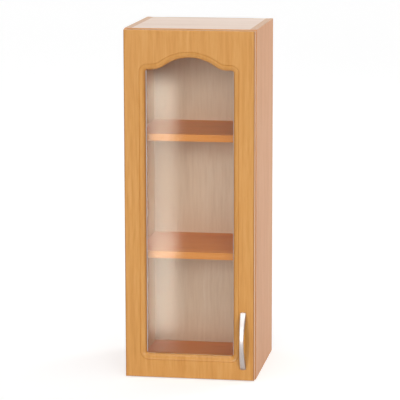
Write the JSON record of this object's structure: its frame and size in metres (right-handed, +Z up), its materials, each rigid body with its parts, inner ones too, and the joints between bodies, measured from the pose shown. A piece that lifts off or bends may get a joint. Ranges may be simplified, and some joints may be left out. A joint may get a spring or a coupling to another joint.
{
  "type": "wall cabinet",
  "caption": "Narrow kitchen wall cabinet with an arched glass door on concealed hinges, loose shelves, a bow handle and rear hanging hooks.",
  "frame": {"origin": "on the wall plane, midway between the two hanging hooks, at the height of their seats", "axes": "+Z up, +X to the right as seen from the front, the front faces -Y and the wall lies at +Y"},
  "size_m": [0.3, 0.33, 0.8],
  "materials": {
    "beech_board": "chipboard with a pale beech melamine face",
    "pale_top_board": "chipboard with a pale, pinkish melamine face",
    "beech_edge_band": "thin beech-coloured edge band",
    "back_board": "thin fibreboard, printed beige inside, raw brown behind",
    "shelf_board": "chipboard with a brown-orange melamine face",
    "shelf_edge_band": "orange-brown edge band",
    "door_wrap": "routed fibreboard wrapped in honey-orange wood-grain film, satin",
    "clear_glass": "clear float glass",
    "seal_rubber": "thin grey foam tape",
    "strip_plastic": "extruded plastic strip, wood-coloured",
    "satin_chrome": "cast zinc, satin chrome plated",
    "zinc_steel": "bright zinc-plated steel",
    "nickel_steel": "nickel-plated steel",
    "spring_steel": "blued spring steel",
    "cast_zinc": "raw cast zinc",
    "beech_dowel": "fluted beech",
    "bumper_rubber": "soft translucent silicone",
    "hanger_plastic": "moulded off-white plastic",
    "hook_steel": "zinc-plated steel"
  },
  "bodies": {
    "carcass": {"side_panel_left": "beech_board", "side_panel_right": "beech_board", "top_panel": "pale_top_board", "bottom_panel": "beech_board", "back_panel": "back_board", "back_nails": "zinc_steel", "side_edge_band_left": "beech_edge_band", "side_edge_band_right": "beech_edge_band", "top_edge_band": "beech_edge_band", "bottom_edge_band": "beech_edge_band", "corner_dowels": "beech_dowel", "cam_bolts": "zinc_steel", "cam_locks": "cast_zinc", "shelf_pins_upper": "nickel_steel", "shelf_pins_lower": "nickel_steel", "hinge_arm_upper": "nickel_steel", "hinge_arm_lower": "nickel_steel", "hinge_plate_upper": "nickel_steel", "hinge_plate_lower": "nickel_steel", "hinge_plate_screws": "zinc_steel", "hinge_arm_screws": "zinc_steel", "hanger_housing_left": "hanger_plastic", "hanger_housing_right": "hanger_plastic"},
    "door": {"door_frame": "door_wrap", "door_glass": "clear_glass", "glass_seal": "seal_rubber", "glazing_strip_left": "strip_plastic", "glazing_strip_right": "strip_plastic", "glazing_strip_top": "strip_plastic", "glazing_strip_bottom": "strip_plastic", "glazing_screws": "zinc_steel", "handle": "satin_chrome", "handle_screws": "zinc_steel", "hinge_cup_upper": "nickel_steel", "hinge_cup_lower": "nickel_steel", "hinge_cup_screws": "zinc_steel", "hinge_pins": "nickel_steel", "hinge_springs": "spring_steel", "door_bumpers": "bumper_rubber"},
    "shelf_upper": {"shelf_upper": "shelf_board", "shelf_edge_band_upper": "shelf_edge_band"},
    "shelf_lower": {"shelf_lower": "shelf_board", "shelf_edge_band_lower": "shelf_edge_band"},
    "hanger_screw_left": {"hanger_screw_left": "zinc_steel"},
    "hanging_hook_left": {"hanging_hook_left": "hook_steel"},
    "hanger_screw_right": {"hanger_screw_right": "zinc_steel"},
    "hanging_hook_right": {"hanging_hook_right": "hook_steel"}
  },
  "joints": [
    {"name": "door_swing", "type": "hinge", "parent": "carcass", "child": "door", "pos_m": [-0.1417, -0.2913, -0.6505], "axis": [0, 0, -1], "range_deg": [0, 95], "stiffness_Nm_per_rad": 0.25, "springref_deg": -22.92},
    {"name": "shelf_upper_lift", "type": "slide", "parent": "carcass", "child": "shelf_upper", "axis": [0, 0, 1], "range_m": [0, 0.04]},
    {"name": "shelf_lower_lift", "type": "slide", "parent": "carcass", "child": "shelf_lower", "axis": [0, 0, 1], "range_m": [0, 0.04]},
    {"name": "hanger_screw_left_turn", "type": "hinge", "parent": "carcass", "child": "hanger_screw_left", "pos_m": [-0.125, -0.058, 0], "axis": [0, 1, 0], "range_deg": [-1080, 1080]},
    {"name": "hanging_hook_left_draw", "type": "slide", "parent": "carcass", "child": "hanging_hook_left", "axis": [0, 1, 0], "range_m": [-0.003, 0.003]},
    {"name": "hanger_screw_right_turn", "type": "hinge", "parent": "carcass", "child": "hanger_screw_right", "pos_m": [0.125, -0.058, 0], "axis": [0, 1, 0], "range_deg": [-1080, 1080]},
    {"name": "hanging_hook_right_draw", "type": "slide", "parent": "carcass", "child": "hanging_hook_right", "axis": [0, 1, 0], "range_m": [-0.003, 0.003]}
  ],
  "couplings": [
    {"joint": "hanger_screw_left_turn", "follows": "hanging_hook_left_draw", "rad_per_m": 6283.2},
    {"joint": "hanger_screw_right_turn", "follows": "hanging_hook_right_draw", "rad_per_m": 6283.2}
  ]
}
